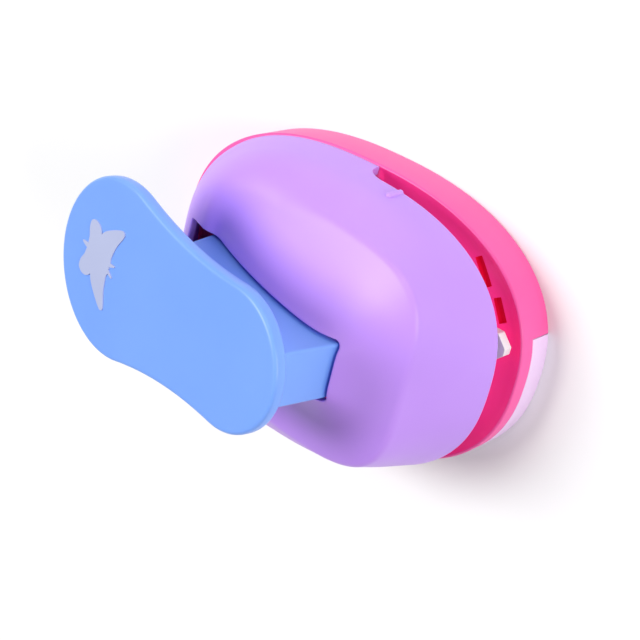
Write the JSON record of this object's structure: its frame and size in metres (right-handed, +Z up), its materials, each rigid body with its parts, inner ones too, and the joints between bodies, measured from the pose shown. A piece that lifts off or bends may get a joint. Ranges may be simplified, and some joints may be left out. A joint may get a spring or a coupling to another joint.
{
  "type": "craft punch",
  "caption": "Hand punch with an oval moulded body, a front-hinged lever with a two-lobed paddle, a steel butterfly die set and a sliding chip tray.",
  "frame": {"origin": "on the resting face, under the middle of the oval body", "axes": "+Z up, against the punching direction; +X out of the paper mouth, to the front; +Y to the side that the chip tray's outer wall leaves closed"},
  "size_m": [0.0781, 0.051, 0.0488],
  "materials": {
    "pink_shell": "satin moulded",
    "purple_shell": "satin moulded",
    "pale_tray": "satin moulded",
    "blue_lever": "satin moulded",
    "mark_print": "printed",
    "bright_steel": "brushed",
    "plated_steel": "zinc plated",
    "spring_steel": "drawn wire",
    "white_nylon": "matt moulded"
  },
  "bodies": {
    "housing": {"base_shell": "pink_shell", "upper_shell": "purple_shell", "die_plate": "bright_steel", "throat_spacer": "bright_steel", "guide_frame": "bright_steel", "frame_rivets": "plated_steel", "die_screws": "plated_steel", "housing_screws": "plated_steel", "lever_pin": "plated_steel", "pin_clip_left": "spring_steel", "pin_clip_right": "spring_steel", "pivot_washers": "plated_steel", "spring_seat": "plated_steel", "return_spring": "spring_steel"},
    "lever": {"lever": "blue_lever", "lever_mark": "mark_print"},
    "punch": {"punch_head": "bright_steel", "punch_cap": "white_nylon", "cap_screw": "plated_steel", "thrust_plate": "plated_steel"},
    "chip_tray": {"chip_tray": "pale_tray"}
  },
  "joints": [
    {"name": "lever_press", "type": "hinge", "parent": "housing", "child": "lever", "pos_m": [0.028, 0, 0.0175], "axis": [0, -1, 0], "range_deg": [0, 12], "stiffness_Nm_per_rad": 0.5, "springref_deg": -20.05},
    {"name": "punch_slide", "type": "slide", "parent": "housing", "child": "punch", "axis": [0, 0, -1], "range_m": [0, 0.004], "deforming": ["return_spring"]},
    {"name": "tray_slide", "type": "slide", "parent": "housing", "child": "chip_tray", "axis": [0, -1, 0], "range_m": [0, 0.03]}
  ],
  "couplings": [
    {"joint": "punch_slide", "follows": "lever_press", "m_per_rad": 0.019}
  ]
}
